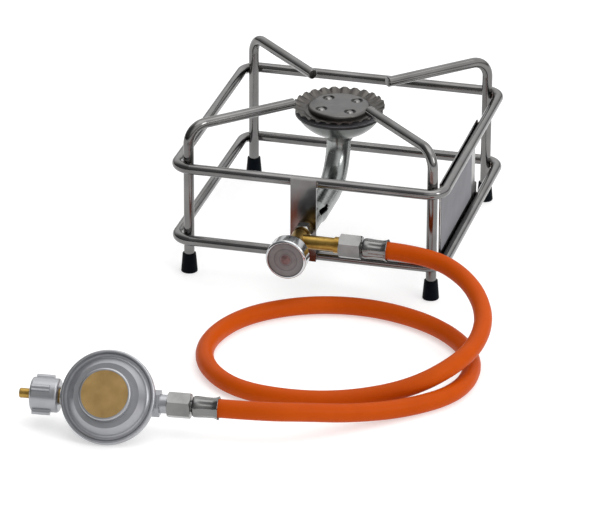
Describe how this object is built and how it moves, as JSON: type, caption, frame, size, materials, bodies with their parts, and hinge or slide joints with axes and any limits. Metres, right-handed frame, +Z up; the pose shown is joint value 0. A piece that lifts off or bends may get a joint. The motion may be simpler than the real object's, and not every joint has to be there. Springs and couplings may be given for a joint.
{
  "type": "single-ring gas cooker",
  "caption": "Low square stand of bent polished rod with a fluted gas burner, front control tap, orange hose on the floor and a round pressure regulator with a hand nut.",
  "frame": {"origin": "on the floor under the burner's axis, at the middle of the four feet", "axes": "+Z up, -Y to the front where the knob faces, +X to the right along the tap's hose branch"},
  "size_m": [0.3071, 0.5064, 0.1254],
  "materials": {
    "stainless": "polished round rod and strip",
    "rubber_black": "matt moulded rubber",
    "zinc_plate": "bright zinc plate",
    "burner_steel": "satin with heat tint",
    "burner_black": "blackened steel",
    "brass": "turned",
    "knob_chrome": "plated",
    "knob_face_grey": "satin grey",
    "screw_red": "red lacquer",
    "hose_orange": "smooth satin",
    "regulator_silver": "silver lacquer",
    "disc_tan": "tan lacquer"
  },
  "bodies": {
    "stand": {"burner_bowl": "zinc_plate", "burner_cap": "burner_steel", "burner_rim": "burner_black", "cap_baffle": "zinc_plate", "cap_rivets": "burner_steel", "foot_back_left": "rubber_black", "foot_back_right": "rubber_black", "foot_front_left": "rubber_black", "foot_front_right": "rubber_black", "front_bracket": "stainless", "gas_hose": "hose_orange", "gland_nut": "brass", "injector": "brass", "inlet_nipple": "brass", "inlet_seal": "rubber_black", "leg_back_left": "stainless", "leg_back_right": "stainless", "leg_front_left": "stainless", "leg_front_right": "stainless", "lower_ring": "stainless", "mixing_tube": "zinc_plate", "rating_disc": "disc_tan", "regulator_body": "regulator_silver", "regulator_cover": "regulator_silver", "regulator_ferrule": "zinc_plate", "regulator_hose_tail": "zinc_plate", "side_plate": "stainless", "spindle_seal": "rubber_black", "upper_ring": "stainless", "valve_body": "brass", "valve_ferrule": "zinc_plate", "valve_hose_tail": "zinc_plate", "valve_lock_nut": "zinc_plate"},
    "control": {"valve_spindle": "brass", "control_knob": "knob_chrome", "knob_face": "knob_face_grey", "knob_screw": "screw_red"},
    "valve_union": {"valve_union_nut": "zinc_plate"},
    "regulator_union": {"regulator_union_nut": "zinc_plate"},
    "cylinder_union": {"cylinder_nut": "regulator_silver"}
  },
  "joints": [
    {"name": "knob_turn", "type": "hinge", "parent": "stand", "child": "control", "pos_m": [-0.0012, -0.1567, 0.05], "axis": [0, -1, 0], "range_deg": [0, 270]},
    {"name": "valve_nut_turn", "type": "hinge", "parent": "stand", "child": "valve_union", "pos_m": [0.04, -0.126, 0.05], "axis": [1, 0, 0], "continuous": true},
    {"name": "regulator_nut_turn", "type": "hinge", "parent": "stand", "child": "regulator_union", "pos_m": [-0.02649, -0.36117, 0.0224], "axis": [0.9962, 0.0872, 0], "continuous": true},
    {"name": "cylinder_nut_turn", "type": "hinge", "parent": "stand", "child": "cylinder_union", "pos_m": [-0.12282, -0.3696, 0.0224], "axis": [-0.9962, -0.0872, 0], "continuous": true}
  ]
}
